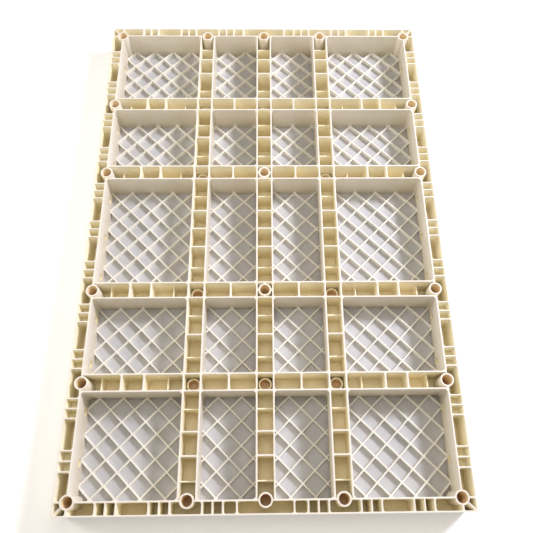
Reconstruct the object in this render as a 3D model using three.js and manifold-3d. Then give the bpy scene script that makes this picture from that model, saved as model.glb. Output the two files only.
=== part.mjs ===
// Ribbed plastic formwork panel, 600 x 900 x 58 mm, lying face down with its ribs up.
// X runs across the width, Y along the length and Z up from the working face.
// The face sheet lies at the bottom. On it stand twenty bay lattices, the edge rails with their
// corner posts, three lengthwise ribs, sixteen cross-rib lengths and twelve pillars at the crossings.

import * as THREE from 'three';
import { mergeVertices } from 'three/addons/utils/BufferGeometryUtils.js';
import Module from 'manifold-3d';

const wasm = await Module();
wasm.setup();

// ---------------------------------------------------------------- overall sizes, in millimetres
const PANEL_WIDTH = 600;
const PANEL_LENGTH = 900;
const SHEET_THICKNESS = 5;
const LATTICE_HEIGHT = 8;
const RIB_RISE = 45;            // from the lattice tops up to the rims
const OUTER_CORNER_RADIUS = 5;

// walls
const WALL = 2.5;
const FLOOR_SLAB = 3;           // closes each rail and hollow rib level with the lattice tops
const SIDE_RAIL_CLEAR = 17;     // between the two walls of a long edge rail
const END_RAIL_CLEAR = 16;      // between the two walls of a short edge rail
const CORNER_POST_X = 34;       // size of the corner posts along each edge
const CORNER_POST_Y = 34;

// rib layout, measured from the centre of the panel
const SPINE_SPACING = 111.5;
const CROSS_INNER = 112;
const CROSS_OUTER = 262.25;

// webs inside the ribs and rails
const FULL_WEB = 2.5;
const LOW_WEB = 2;
const WEB_SPACING = 34.2;
const LOW_WEB_DROP_LONG = 11;
const LOW_WEB_DROP_CROSS = 18.5;
const PIN_SPACING = 75;
const PIN_WEB_OFFSET = 14.6;
const PIN_WEB = 2.2;
const END_SINGLE_WEB = 40.7;

// pin holes through the long edge rails
const PIN_HOLE = 12;
const PIN_BLOCK_TOP = 10;       // the block around each hole rises this far above its centre
const PIN_DEPTH = 35;           // hole centre below the rims

// pillars with blind bores
const BOSS_DIAMETER = 21;
const BOSS_CLEARANCE = 1.25;    // between a pillar and the walls of the hollow rib around it
const RIB_CLEAR = BOSS_DIAMETER + 2 * BOSS_CLEARANCE; // between the two walls of every hollow rib
const BOSS_BORE = 16;
const BOSS_FLOOR = 3;
const BOSS_DROP = 23;           // the ten lower pillars stop this far below the rims
const BOSS_RIB = 3;

// diagonal lattice
const LATTICE_PITCH = 37.3;     // corner to corner across one square cell
const LATTICE_RIB = 2.4;
const LATTICE_SHIFT = 3;        // the whole lattice sits this far towards the far end

const BOSS_SIDES = 12;
const HOLE_SIDES = 8;
const EMBED = 0.8;              // how far joined members run into each other

// ---------------------------------------------------------------- derived levels and lines
const Z_SHEET = SHEET_THICKNESS;
const Z_LATTICE = Z_SHEET + LATTICE_HEIGHT;
const Z_SLAB = Z_LATTICE - FLOOR_SLAB;
const Z_RIM = Z_LATTICE + RIB_RISE;
const HALF_W = PANEL_WIDTH / 2;
const HALF_L = PANEL_LENGTH / 2;
const SIDE_INNER_OUT = HALF_W - WALL - SIDE_RAIL_CLEAR;
const SIDE_INNER_IN = SIDE_INNER_OUT - WALL;
const END_INNER_OUT = HALF_L - WALL - END_RAIL_CLEAR;
const END_INNER_IN = END_INNER_OUT - WALL;
const RIB_HALF = RIB_CLEAR / 2;
const RIB_OUT = RIB_HALF + WALL;
const POST_X = HALF_W - CORNER_POST_X;
const POST_Y = HALF_L - CORNER_POST_Y;
const BOSS_X = (SIDE_INNER_OUT + SIDE_INNER_IN) / 2;
const BOSS_Y = (END_INNER_OUT + END_INNER_IN) / 2;
const PIN_Z = Z_RIM - PIN_DEPTH;
const BOSS_R = BOSS_DIAMETER / 2;
const BORE_R = BOSS_BORE / 2;

const SPINES = [
  { name: 'left', x: -SPINE_SPACING },
  { name: 'centre', x: 0 },
  { name: 'right', x: SPINE_SPACING },
];
const CROSSES = [-CROSS_OUTER, -CROSS_INNER, CROSS_INNER, CROSS_OUTER];

// the four columns and five rows of bays lie between these faces
const COLUMNS = [
  [-SIDE_INNER_IN, -SPINE_SPACING - RIB_OUT],
  [-SPINE_SPACING + RIB_OUT, -RIB_OUT],
  [RIB_OUT, SPINE_SPACING - RIB_OUT],
  [SPINE_SPACING + RIB_OUT, SIDE_INNER_IN],
];
const ROWS = [
  [-END_INNER_IN, -CROSS_OUTER - RIB_OUT],
  [-CROSS_OUTER + RIB_OUT, -CROSS_INNER - RIB_OUT],
  [-CROSS_INNER + RIB_OUT, CROSS_INNER - RIB_OUT],
  [CROSS_INNER + RIB_OUT, CROSS_OUTER - RIB_OUT],
  [CROSS_OUTER + RIB_OUT, END_INNER_IN],
];

// ---------------------------------------------------------------- materials
const frameMaterial = new THREE.MeshStandardMaterial({ color: '#efe6cb', roughness: 0.45, metalness: 0 });
const sheetMaterial = new THREE.MeshStandardMaterial({ color: '#e6e5e4', roughness: 0.4, metalness: 0 });

// ---------------------------------------------------------------- solids
function toSolid(geometry) {
  geometry.deleteAttribute('normal');
  geometry.deleteAttribute('uv');
  const merged = mergeVertices(geometry);
  const vertProperties = new Float32Array(merged.attributes.position.array);
  const triVerts = new Uint32Array(merged.index.array);
  return new wasm.Manifold(new wasm.Mesh({ numProp: 3, vertProperties, triVerts }));
}

function toGeometry(solid) {
  const mesh = solid.getMesh();
  const geometry = new THREE.BufferGeometry();
  geometry.setAttribute('position', new THREE.BufferAttribute(new Float32Array(mesh.vertProperties), 3));
  geometry.setIndex(new THREE.BufferAttribute(new Uint32Array(mesh.triVerts), 1));
  geometry.computeVertexNormals();
  return geometry;
}

function block(x0, x1, y0, y1, z0, z1) {
  const geometry = new THREE.BoxGeometry(x1 - x0, y1 - y0, z1 - z0);
  geometry.translate((x0 + x1) / 2, (y0 + y1) / 2, (z0 + z1) / 2);
  const position = geometry.attributes.position;
  for (let i = 0; i < position.count; i += 1) {
    position.setXYZ(
      i,
      position.getX(i) < (x0 + x1) / 2 ? x0 : x1,
      position.getY(i) < (y0 + y1) / 2 ? y0 : y1,
      position.getZ(i) < (z0 + z1) / 2 ? z0 : z1,
    );
  }
  return toSolid(geometry);
}

function regularShape(radius, sides, turn) {
  const shape = new THREE.Shape();
  for (let i = 0; i < sides; i += 1) {
    const angle = turn + (i * 2 * Math.PI) / sides;
    const x = radius * Math.cos(angle);
    const y = radius * Math.sin(angle);
    if (i === 0) shape.moveTo(x, y);
    else shape.lineTo(x, y);
  }
  shape.closePath();
  return shape;
}

function prism(shape, height) {
  return new THREE.ExtrudeGeometry(shape, { depth: height, bevelEnabled: false, steps: 1, curveSegments: 2 });
}

function pillar(x, y, radius, z0, z1) {
  const shape = regularShape(radius, BOSS_SIDES, Math.PI / BOSS_SIDES);
  const geometry = prism(shape, z1 - z0);
  geometry.translate(x, y, z0);
  return toSolid(geometry);
}

// a bar with flat-sided round section, lying along X
function bar(x0, x1, y, z, width) {
  const radius = width / 2 / Math.cos(Math.PI / HOLE_SIDES);
  const geometry = prism(regularShape(radius, HOLE_SIDES, Math.PI / HOLE_SIDES), x1 - x0);
  geometry.rotateX(Math.PI / 2);
  geometry.rotateZ(Math.PI / 2);
  geometry.translate(x0, y, z);
  return toSolid(geometry);
}

function roundedOutline(halfX, halfY, radius) {
  const shape = new THREE.Shape();
  shape.moveTo(-halfX + radius, -halfY);
  shape.lineTo(halfX - radius, -halfY);
  shape.absarc(halfX - radius, -halfY + radius, radius, -Math.PI / 2, 0, false);
  shape.lineTo(halfX, halfY - radius);
  shape.absarc(halfX - radius, halfY - radius, radius, 0, Math.PI / 2, false);
  shape.lineTo(-halfX + radius, halfY);
  shape.absarc(-halfX + radius, halfY - radius, radius, Math.PI / 2, Math.PI, false);
  shape.lineTo(-halfX, -halfY + radius);
  shape.absarc(-halfX + radius, -halfY + radius, radius, Math.PI, Math.PI * 1.5, false);
  return shape;
}

function joinAll(solids) {
  return solids.reduce((sum, solid) => sum.add(solid));
}

function cutAll(solid, cutters) {
  return cutters.reduce((rest, cutter) => rest.subtract(cutter), solid);
}

// ---------------------------------------------------------------- the panel
const panel = new THREE.Group();
panel.name = 'formwork_panel';

function place(name, solid, material) {
  const mesh = new THREE.Mesh(toGeometry(solid.asOriginal().simplify(0.001)), material);
  mesh.name = name;
  panel.add(mesh);
}

// face sheet with its rounded corners
const outline = roundedOutline(HALF_W, HALF_L, OUTER_CORNER_RADIUS);
place('face_sheet', toSolid(prism(outline, SHEET_THICKNESS)), sheetMaterial);

// One lattice fills the floor of each bay: two sets of thin ribs crossing at 45 degrees.
// The nodes of a row line up across the panel, and each row is set about its own middle line.
function lattice(x0, x1, y0, y1, middle) {
  const half = LATTICE_PITCH / 2;
  const last = Math.ceil(HALF_W / half) + 1;
  const reach = Math.ceil((y1 - y0) / half) + 2;
  const keep = LATTICE_RIB;
  const rising = new Set();
  const falling = new Set();
  for (let n = -last; n <= last; n += 1) {
    for (let m = -reach; m <= reach; m += 1) {
      if ((n + m) % 2 !== 0) continue;
      const x = n * half;
      const y = middle + m * half;
      const inside = x > x0 + keep && x < x1 - keep && y > y0 + keep && y < y1 - keep;
      if (inside) {
        rising.add(n - m);
        falling.add(n + m);
      }
    }
  }
  const length = (x1 - x0 + (y1 - y0)) * 2;
  const centreX = (x0 + x1) / 2;
  const ribs = [];
  const addRib = (lineX, lineY, slope) => {
    const geometry = new THREE.BoxGeometry(length, LATTICE_RIB, LATTICE_HEIGHT + 2);
    geometry.rotateZ((slope * Math.PI) / 4);
    const y = lineY + slope * (centreX - lineX);
    geometry.translate(centreX, y, Z_SHEET + LATTICE_HEIGHT / 2);
    ribs.push(toSolid(geometry));
  };
  for (const k of rising) addRib(k * half, middle, 1);
  for (const k of falling) addRib(k * half, middle, -1);
  return joinAll(ribs).intersect(block(x0, x1, y0, y1, Z_SHEET, Z_LATTICE));
}

ROWS.forEach(([y0, y1], row) => {
  const steps = Math.round((y0 + y1) / LATTICE_PITCH);
  const middle = (steps * LATTICE_PITCH) / 2 + LATTICE_SHIFT;
  COLUMNS.forEach(([x0, x1], column) => {
    place(`lattice_r${row + 1}_c${column + 1}`, lattice(x0, x1, y0, y1, middle), frameMaterial);
  });
});

// A pillar and its bore. The bore is cut after the pillar has been joined to the walls it stands on.
function boss(x, y, top) {
  return pillar(x, y, BOSS_R, Z_LATTICE, top);
}

function boreCut(x, y) {
  return pillar(x, y, BORE_R, Z_LATTICE + BOSS_FLOOR, Z_RIM + 1);
}

// Long edge rail: two walls over a floor slab, webs in threes with a block for each pin hole between them,
// and a pillar on the inner wall in line with each cross rib.
function sideRail(side) {
  const outerIn = HALF_W - WALL;
  const parts = [
    block(side * HALF_W, side * outerIn, -POST_Y, POST_Y, Z_SHEET, Z_RIM),
    block(side * SIDE_INNER_OUT, side * SIDE_INNER_IN, -POST_Y, POST_Y, Z_SHEET, Z_RIM),
    block(side * (SIDE_INNER_OUT - EMBED), side * (outerIn + EMBED), -POST_Y, POST_Y, Z_SLAB, Z_LATTICE),
  ];
  const cuts = [];
  const span = Math.floor((POST_Y - PIN_WEB_OFFSET) / PIN_SPACING);
  for (let k = -span; k <= span; k += 1) {
    const y = k * PIN_SPACING;
    for (const offset of [-PIN_WEB_OFFSET, 0, PIN_WEB_OFFSET]) {
      const y0 = y + offset - PIN_WEB / 2;
      const x0 = side * (SIDE_INNER_OUT - EMBED);
      const x1 = side * (outerIn + EMBED);
      parts.push(block(x0, x1, y0, y0 + PIN_WEB, Z_SLAB, Z_RIM));
    }
    const reach = PIN_WEB_OFFSET + PIN_WEB / 2;
    const x0 = side * (SIDE_INNER_OUT - EMBED);
    const x1 = side * (outerIn + EMBED);
    parts.push(block(x0, x1, y - reach, y + reach, Z_SLAB, PIN_Z + PIN_BLOCK_TOP));
    const start = side > 0 ? SIDE_INNER_IN - 1 : -HALF_W - 1;
    cuts.push(bar(start, start + WALL * 2 + SIDE_RAIL_CLEAR + 2, y, PIN_Z, PIN_HOLE));
  }
  for (const y of CROSSES) {
    parts.push(boss(side * BOSS_X, y, Z_RIM));
    cuts.push(boreCut(side * BOSS_X, y));
  }
  return cutAll(joinAll(parts), cuts);
}

place('rail_left', sideRail(-1), frameMaterial);
place('rail_right', sideRail(1), frameMaterial);

// Short edge rail: the same walls, webs in threes between the lengthwise ribs and a pillar on each of them.
function endRail(side) {
  const outerIn = HALF_L - WALL;
  const y0 = side * (END_INNER_OUT - EMBED);
  const y1 = side * (outerIn + EMBED);
  const parts = [
    block(-POST_X, POST_X, side * outerIn, side * HALF_L, Z_SHEET, Z_RIM),
    block(-POST_X, POST_X, side * END_INNER_IN, side * END_INNER_OUT, Z_SHEET, Z_RIM),
    block(-POST_X, POST_X, y0, y1, Z_SLAB, Z_LATTICE),
  ];
  const cuts = [];
  const webs = [];
  const span = Math.floor((POST_X - PIN_WEB_OFFSET) / PIN_SPACING);
  for (let k = 1; k <= span; k += 1) {
    for (const offset of [-PIN_WEB_OFFSET, 0, PIN_WEB_OFFSET]) webs.push(k * PIN_SPACING + offset);
  }
  webs.push(END_SINGLE_WEB);
  for (const web of webs) {
    for (const x of [-web, web]) {
      parts.push(block(x - PIN_WEB / 2, x + PIN_WEB / 2, y0, y1, Z_SLAB, Z_RIM));
    }
  }
  for (const spine of SPINES) {
    parts.push(boss(spine.x, side * BOSS_Y, Z_RIM));
    cuts.push(boreCut(spine.x, side * BOSS_Y));
  }
  return cutAll(joinAll(parts), cuts);
}

place('rail_near', endRail(-1), frameMaterial);
place('rail_far', endRail(1), frameMaterial);

// Corner post: the rails' walls run through to the outer walls around a pillar,
// and a diagonal rib ties the pillar to the rounded outer corner.
function cornerPost(sideX, sideY) {
  const outerX = HALF_W - WALL;
  const outerY = HALF_L - WALL;
  const zone = (x0, x1, y0, y1, z0, z1) => block(sideX * x0, sideX * x1, sideY * y0, sideY * y1, z0, z1);
  const shell = toSolid(prism(outline, Z_RIM - Z_SHEET).translate(0, 0, Z_SHEET));
  const hollow = toSolid(
    prism(roundedOutline(outerX, outerY, OUTER_CORNER_RADIUS - WALL), Z_RIM).translate(0, 0, Z_SHEET - 1),
  );
  const area = zone(POST_X, HALF_W + 1, POST_Y, HALF_L + 1, Z_SHEET, Z_RIM);
  const diagonal = new THREE.BoxGeometry(60, WALL, RIB_RISE + FLOOR_SLAB);
  diagonal.rotateZ((sideX * sideY * Math.PI) / 4);
  diagonal.translate(sideX * (BOSS_X + 12), sideY * (BOSS_Y + 12), (Z_SLAB + Z_RIM) / 2);
  const inner = [
    zone(SIDE_INNER_IN, SIDE_INNER_OUT, POST_Y, outerY + EMBED, Z_SHEET, Z_RIM),
    zone(POST_X, outerX + EMBED, END_INNER_IN, END_INNER_OUT, Z_SHEET, Z_RIM),
    zone(SIDE_INNER_IN, outerX + EMBED, POST_Y, outerY + EMBED, Z_SLAB, Z_LATTICE),
    zone(POST_X, outerX + EMBED, END_INNER_IN, outerY + EMBED, Z_SLAB, Z_LATTICE),
    toSolid(diagonal).intersect(zone(BOSS_X, HALF_W, BOSS_Y, HALF_L, Z_SLAB, Z_RIM)),
    boss(sideX * BOSS_X, sideY * BOSS_Y, Z_RIM),
  ];
  const walls = shell.subtract(hollow).intersect(area);
  return joinAll([walls, ...inner]).intersect(shell).subtract(boreCut(sideX * BOSS_X, sideY * BOSS_Y));
}

place('post_near_left', cornerPost(-1, -1), frameMaterial);
place('post_near_right', cornerPost(1, -1), frameMaterial);
place('post_far_left', cornerPost(-1, 1), frameMaterial);
place('post_far_right', cornerPost(1, 1), frameMaterial);

// webs of one rib cell run: full ones in the middle of each bay and a low one near each end
function websFor(length) {
  if (length > 180) return { full: [-1, 0, 1], low: [-2, 2] };
  if (length > 135) return { full: [-0.5, 0.5], low: [-1.5, 1.5] };
  if (length > 100) return { full: [0], low: [-1, 1] };
  return { full: [0], low: [] };
}

// Lengthwise rib: two walls from end rail to end rail, a floor slab, webs and the four crossing cells.
function spine(x) {
  const inner = RIB_HALF + EMBED;
  const parts = [
    block(x - RIB_OUT, x - RIB_HALF, -END_INNER_IN, END_INNER_IN, Z_SHEET, Z_RIM),
    block(x + RIB_HALF, x + RIB_OUT, -END_INNER_IN, END_INNER_IN, Z_SHEET, Z_RIM),
    block(x - inner, x + inner, -END_INNER_IN, END_INNER_IN, Z_SLAB, Z_LATTICE),
  ];
  for (const y of CROSSES) {
    parts.push(block(x - inner, x + inner, y - RIB_OUT, y - RIB_HALF, Z_SLAB, Z_RIM));
    parts.push(block(x - inner, x + inner, y + RIB_HALF, y + RIB_OUT, Z_SLAB, Z_RIM));
  }
  for (const [y0, y1] of ROWS) {
    const middle = (y0 + y1) / 2;
    const webs = websFor(y1 - y0);
    for (const k of webs.full) {
      const y = middle + k * WEB_SPACING;
      parts.push(block(x - inner, x + inner, y - FULL_WEB / 2, y + FULL_WEB / 2, Z_SLAB, Z_RIM));
    }
    for (const k of webs.low) {
      const y = middle + k * WEB_SPACING;
      const top = Z_RIM - LOW_WEB_DROP_LONG;
      parts.push(block(x - inner, x + inner, y - LOW_WEB / 2, y + LOW_WEB / 2, Z_SLAB, top));
    }
  }
  return joinAll(parts);
}

for (const { name, x } of SPINES) place(`spine_${name}`, spine(x), frameMaterial);

// Cross-rib length between two lengthwise members, one in each column of bays.
function crossRib(x0, x1, y) {
  const inner = RIB_HALF + EMBED;
  const parts = [
    block(x0, x1, y - RIB_OUT, y - RIB_HALF, Z_SHEET, Z_RIM),
    block(x0, x1, y + RIB_HALF, y + RIB_OUT, Z_SHEET, Z_RIM),
    block(x0, x1, y - inner, y + inner, Z_SLAB, Z_LATTICE),
  ];
  const middle = (x0 + x1) / 2;
  const webs = websFor(x1 - x0);
  for (const k of webs.full) {
    const x = middle + k * WEB_SPACING;
    parts.push(block(x - FULL_WEB / 2, x + FULL_WEB / 2, y - inner, y + inner, Z_SLAB, Z_RIM));
  }
  for (const k of webs.low) {
    const x = middle + k * WEB_SPACING;
    const top = Z_RIM - LOW_WEB_DROP_CROSS;
    parts.push(block(x - LOW_WEB / 2, x + LOW_WEB / 2, y - inner, y + inner, Z_SLAB, top));
  }
  return joinAll(parts);
}

CROSSES.forEach((y, line) => {
  COLUMNS.forEach(([x0, x1], column) => {
    place(`cross_rib_${line + 1}_c${column + 1}`, crossRib(x0, x1, y), frameMaterial);
  });
});

// Pillars standing in the crossing cells. The two on the centre lines reach the rims and have four short
// ribs to the cell walls. The other ten stop lower down.
CROSSES.forEach((y, line) => {
  for (const { name, x } of SPINES) {
    const tall = x === 0 && Math.abs(y) === CROSS_INNER;
    const top = tall ? Z_RIM : Z_RIM - BOSS_DROP;
    let solid = boss(x, y, top);
    if (tall) {
      const half = BOSS_RIB / 2;
      solid = joinAll([
        solid,
        block(x - RIB_HALF, x + RIB_HALF, y - half, y + half, Z_LATTICE, top),
        block(x - half, x + half, y - RIB_HALF, y + RIB_HALF, Z_LATTICE, top),
      ]);
    }
    place(`pillar_${line + 1}_${name}`, solid.subtract(boreCut(x, y)), frameMaterial);
  }
});

export default panel;
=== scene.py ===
# %% [markdown]
# # A ribbed plastic formwork panel
# A formwork panel is a shallow tray of injection-moulded ABS. Its smooth face shapes wet concrete, and
# the ribs behind that face keep it flat under the load. Here it lies face down with the ribs up.
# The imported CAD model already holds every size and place. It is loaded first and never moved, and each
# finished piece below is built around the node that it stands for.

# %% Load the frame
import math

import bmesh
import bpy
from mathutils import Matrix, Vector


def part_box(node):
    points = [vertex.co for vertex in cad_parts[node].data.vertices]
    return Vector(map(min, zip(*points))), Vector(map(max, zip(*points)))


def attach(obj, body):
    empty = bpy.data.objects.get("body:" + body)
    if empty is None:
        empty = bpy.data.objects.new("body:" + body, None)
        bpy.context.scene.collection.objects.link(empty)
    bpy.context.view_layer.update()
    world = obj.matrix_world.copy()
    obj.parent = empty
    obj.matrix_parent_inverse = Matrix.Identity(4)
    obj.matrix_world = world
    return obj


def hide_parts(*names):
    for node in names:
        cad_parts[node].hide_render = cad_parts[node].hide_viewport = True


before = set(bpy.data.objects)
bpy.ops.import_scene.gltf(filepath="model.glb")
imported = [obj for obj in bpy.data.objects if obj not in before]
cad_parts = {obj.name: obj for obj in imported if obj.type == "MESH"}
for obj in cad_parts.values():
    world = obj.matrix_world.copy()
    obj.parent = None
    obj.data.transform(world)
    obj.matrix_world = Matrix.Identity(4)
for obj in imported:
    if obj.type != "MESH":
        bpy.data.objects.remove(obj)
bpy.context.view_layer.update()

print("CAD nodes:", len(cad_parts))

# %% [markdown]
# ## The layout lines
# Every wall, web and pillar of the panel stands on a line of one layout. The lines are read from the
# boxes of the CAD nodes where a box gives them, and the rest are named here once, in millimetres.
# Working in millimetres keeps the numbers readable. Each mesh is brought to metres in one place.

# %% Levels and main lines in millimetres
MM = 0.001


def box_mm(cad_node):
    """Lowest and highest corner of a CAD node in millimetres."""
    low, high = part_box(cad_node)
    return low / MM, high / MM


def middle_mm(cad_node, axis):
    """Middle of a CAD node along one axis in millimetres."""
    low, high = box_mm(cad_node)
    return (low[axis] + high[axis]) / 2


SHEET_TOP = box_mm("face_sheet")[1].z
LATTICE_TOP = box_mm("lattice_r1_c1")[1].z
RIM = box_mm("rail_left")[1].z
HALF_W = box_mm("face_sheet")[1].x
HALF_L = box_mm("face_sheet")[1].y
POST_X = box_mm("post_far_right")[0].x
POST_Y = box_mm("rail_left")[1].y
SIDE_INNER = box_mm("lattice_r1_c4")[1].x
END_INNER = box_mm("spine_centre")[1].y
RIB_OUT = box_mm("spine_centre")[1].x
WALL = 2.5
SLAB = 3.0  # the floor of the hollow rails and ribs, level with the tops of the lattices
SLAB_UNDER = LATTICE_TOP - SLAB
RIB_HALF = RIB_OUT - WALL
PILLAR_OUTER = 10.5
PILLAR_BORE = 8.0
PILLAR_FLOOR = 3.0
LOW_PILLAR_TOP = box_mm("pillar_1_left")[1].z
SPINES = {name: middle_mm(f"spine_{name}", 0) for name in ("left", "centre", "right")}
CROSSES = [middle_mm(f"cross_rib_{line}_c1", 1) for line in (1, 2, 3, 4)]
print("levels:", [round(v, 2) for v in (SHEET_TOP, LATTICE_TOP, LOW_PILLAR_TOP, RIM)])
print("spines:", SPINES)
print("cross ribs:", CROSSES)

# %% [markdown]
# ## The camera
# The panel is seen from above its near edge, looking down and a little forward, as a person standing
# over it would. The camera is made early, so that every later step can be judged from it.
# Its lens is given as a focal length in image widths, which doesn't depend on the sensor.

# %% Camera
FOCAL_IN_WIDTHS = 1.0788
TILT, LEAN, TWIST = (math.radians(a) for a in (23.122, -0.879, -0.721))
EYE = Vector((0.00294, -0.45041, 0.93092))

camera_data = bpy.data.cameras.new("camera")
camera_data.sensor_fit = "HORIZONTAL"
camera_data.lens = FOCAL_IN_WIDTHS * camera_data.sensor_width
camera_data.shift_x = -0.0205
camera_data.shift_y = 0.0065
camera_data.clip_end = 50
camera = bpy.data.objects.new("camera", camera_data)
turn = Matrix.Rotation(TWIST, 4, "Z") @ Matrix.Rotation(LEAN, 4, "Y") @ Matrix.Rotation(TILT, 4, "X")
camera.matrix_world = Matrix.Translation(EYE) @ turn
bpy.context.scene.collection.objects.link(camera)
bpy.context.scene.camera = camera
print("camera lens in mm:", round(camera_data.lens, 2))

# %% [markdown]
# ## A studio for it
# The panel is lit as by plain daylight: one large cool light stands high on the right and a little
# behind. It throws the shadow of each rib about as far as the rib is deep, which shows how deep the
# bays are. A weak light overhead and a low one on the left open up the walls that it leaves in shade,
# and a warm grey world fills in the rest.
# The floor is pale and glows a little, as a light table does, so that the panel's own shadow on it
# stays soft. It is a stage piece, so it isn't part of the object.

# %% Floor, lights and surroundings
FLOOR_HALF = 6
FLOOR_GAP = 0.2 * MM


def linear(hex_colour):
    """An sRGB hex colour as the linear colour that a shader socket takes."""
    parts = [int(hex_colour.lstrip("#")[i : i + 2], 16) / 255 for i in (0, 2, 4)]
    return [c / 12.92 if c <= 0.04045 else ((c + 0.055) / 1.055) ** 2.4 for c in parts] + [1.0]


def soft_light(name, place, target, size, watts, colour):
    """A round soft light, as a lamp behind a diffuser gives, that points at its target."""
    data = bpy.data.lights.new(name, "AREA")
    data.shape = "DISK"
    data.size = size
    data.energy = watts
    data.color = linear(colour)[:3]
    light = bpy.data.objects.new(name, data)
    light.location = place
    light.rotation_euler = (Vector(target) - Vector(place)).to_track_quat("-Z", "Y").to_euler()
    bpy.context.scene.collection.objects.link(light)
    return light


key_light = soft_light("key_light", (1.45, 0.62, 1.5), (0, 0, 0.03), 0.5, 47, "#EFEFFF")
overhead_light = soft_light("overhead_light", (0, -0.1, 1.15), (0, 0.1, 0), 0.6, 2.6, "#FFFDF8")
side_light = soft_light("side_light", (-1.4, 0.15, 0.62), (0, 0.05, 0.03), 0.5, 8, "#FFFCF8")

world = bpy.data.worlds.new("soft_daylight")
world.use_nodes = True
world.node_tree.nodes["Background"].inputs["Color"].default_value = linear("#FFF6E6")
world.node_tree.nodes["Background"].inputs["Strength"].default_value = 0.37
bpy.context.scene.world = world
bpy.context.scene.view_settings.view_transform = "Standard"

floor_bm = bmesh.new()
bmesh.ops.create_grid(floor_bm, x_segments=1, y_segments=1, size=FLOOR_HALF)
bmesh.ops.translate(floor_bm, vec=(0, 0, -FLOOR_GAP), verts=floor_bm.verts)
floor_mesh = bpy.data.meshes.new("floor")
floor_bm.to_mesh(floor_mesh)
floor_bm.free()
floor = bpy.data.objects.new("floor", floor_mesh)
floor_paint = bpy.data.materials.new("pale_floor")
floor_paint.use_nodes = True
floor_shader = floor_paint.node_tree.nodes["Principled BSDF"]
floor_shader.inputs["Base Color"].default_value = linear("#FAF9F8")
floor_shader.inputs["Emission Color"].default_value = linear("#FFFFFF")
floor_shader.inputs["Emission Strength"].default_value = 0.25
floor_shader.inputs["Roughness"].default_value = 0.9
floor_mesh.materials.append(floor_paint)
bpy.context.scene.collection.objects.link(floor)
print("lights:", key_light.name, overhead_light.name, side_light.name, "and", world.name)

# %% [markdown]
# ## Ivory ABS
# The ribs, rails and pillars are moulded in one shot of natural ABS. ABS is a tough, slightly milky
# plastic with a warm ivory tone. The steel mould leaves a fine, even grain, the melt leaves soft flow
# clouds some centimetres long, and the rims carry pale marks, partly handling scuff marks and partly a
# painted highlight.
# The grain of a real mould is a few hundredths of a millimetre and too fine to show, so it is drawn
# about 1.2 mm wide and very shallow.
# Milky plastic lets light through its walls, and it picks up colour on the way, so channels look amber
# and narrow bores look brown. The plain surface shader doesn't carry that. A painted shade towards the
# bottom and two copies of the same plastic, one with painted light for the faces in channels and one
# with painted shade for the faces in bores, stand for it.

# %% Node helpers
COLOUR_MIX = {"data_type": "RGBA"}


def node(tree, kind, settings=None, **inputs):
    """Add one node, set its properties and fill its inputs with values or links.

    An input goes by its name, or by its number after an i where a node has more than one of that name.
    """
    made = tree.nodes.new(kind)
    for key, value in (settings or {}).items():
        setattr(made, key, value)
    for key, value in inputs.items():
        numbered = key[0] == "i" and key[1:].isdigit()
        socket = made.inputs[int(key[1:])] if numbered else made.inputs[key.replace("_", " ")]
        if isinstance(value, bpy.types.NodeSocket):
            tree.links.new(value, socket)
        else:
            socket.default_value = value
    return made


def cloud_scale(size_mm):
    """The scale at which a noise texture's clouds are about size_mm wide."""
    return 1 / (size_mm * MM)


print("a 38 mm cloud takes a noise scale of", round(cloud_scale(38.0), 1))

# %% [markdown]
# ## How a moulded surface is put together
# One function makes every version of the plastic, because the mould leaves the same finish everywhere.
# Colour comes in three layers: flow clouds between a light and a dark tone, a painted shade that grows
# from the rims down to the bay floors, and pale marks in the top millimetre and a half, partly handling
# scuff marks and partly a painted highlight. Roughness varies in patches, and two shallow bumps give the
# waviness of the walls and the grain of the mould.

# %% Material for the ribs, rails and pillars
# The pale rim tone is partly handling scuff marks and partly a painted highlight on the top of every wall.
SCUFF_AND_HIGHLIGHT_TONE = "#F6F0E4"
SCUFF_AND_HIGHLIGHT_FROM, SCUFF_AND_HIGHLIGHT_TO = RIM - 1.6, RIM - 0.2
ABS_IOR = 1.53


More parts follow.
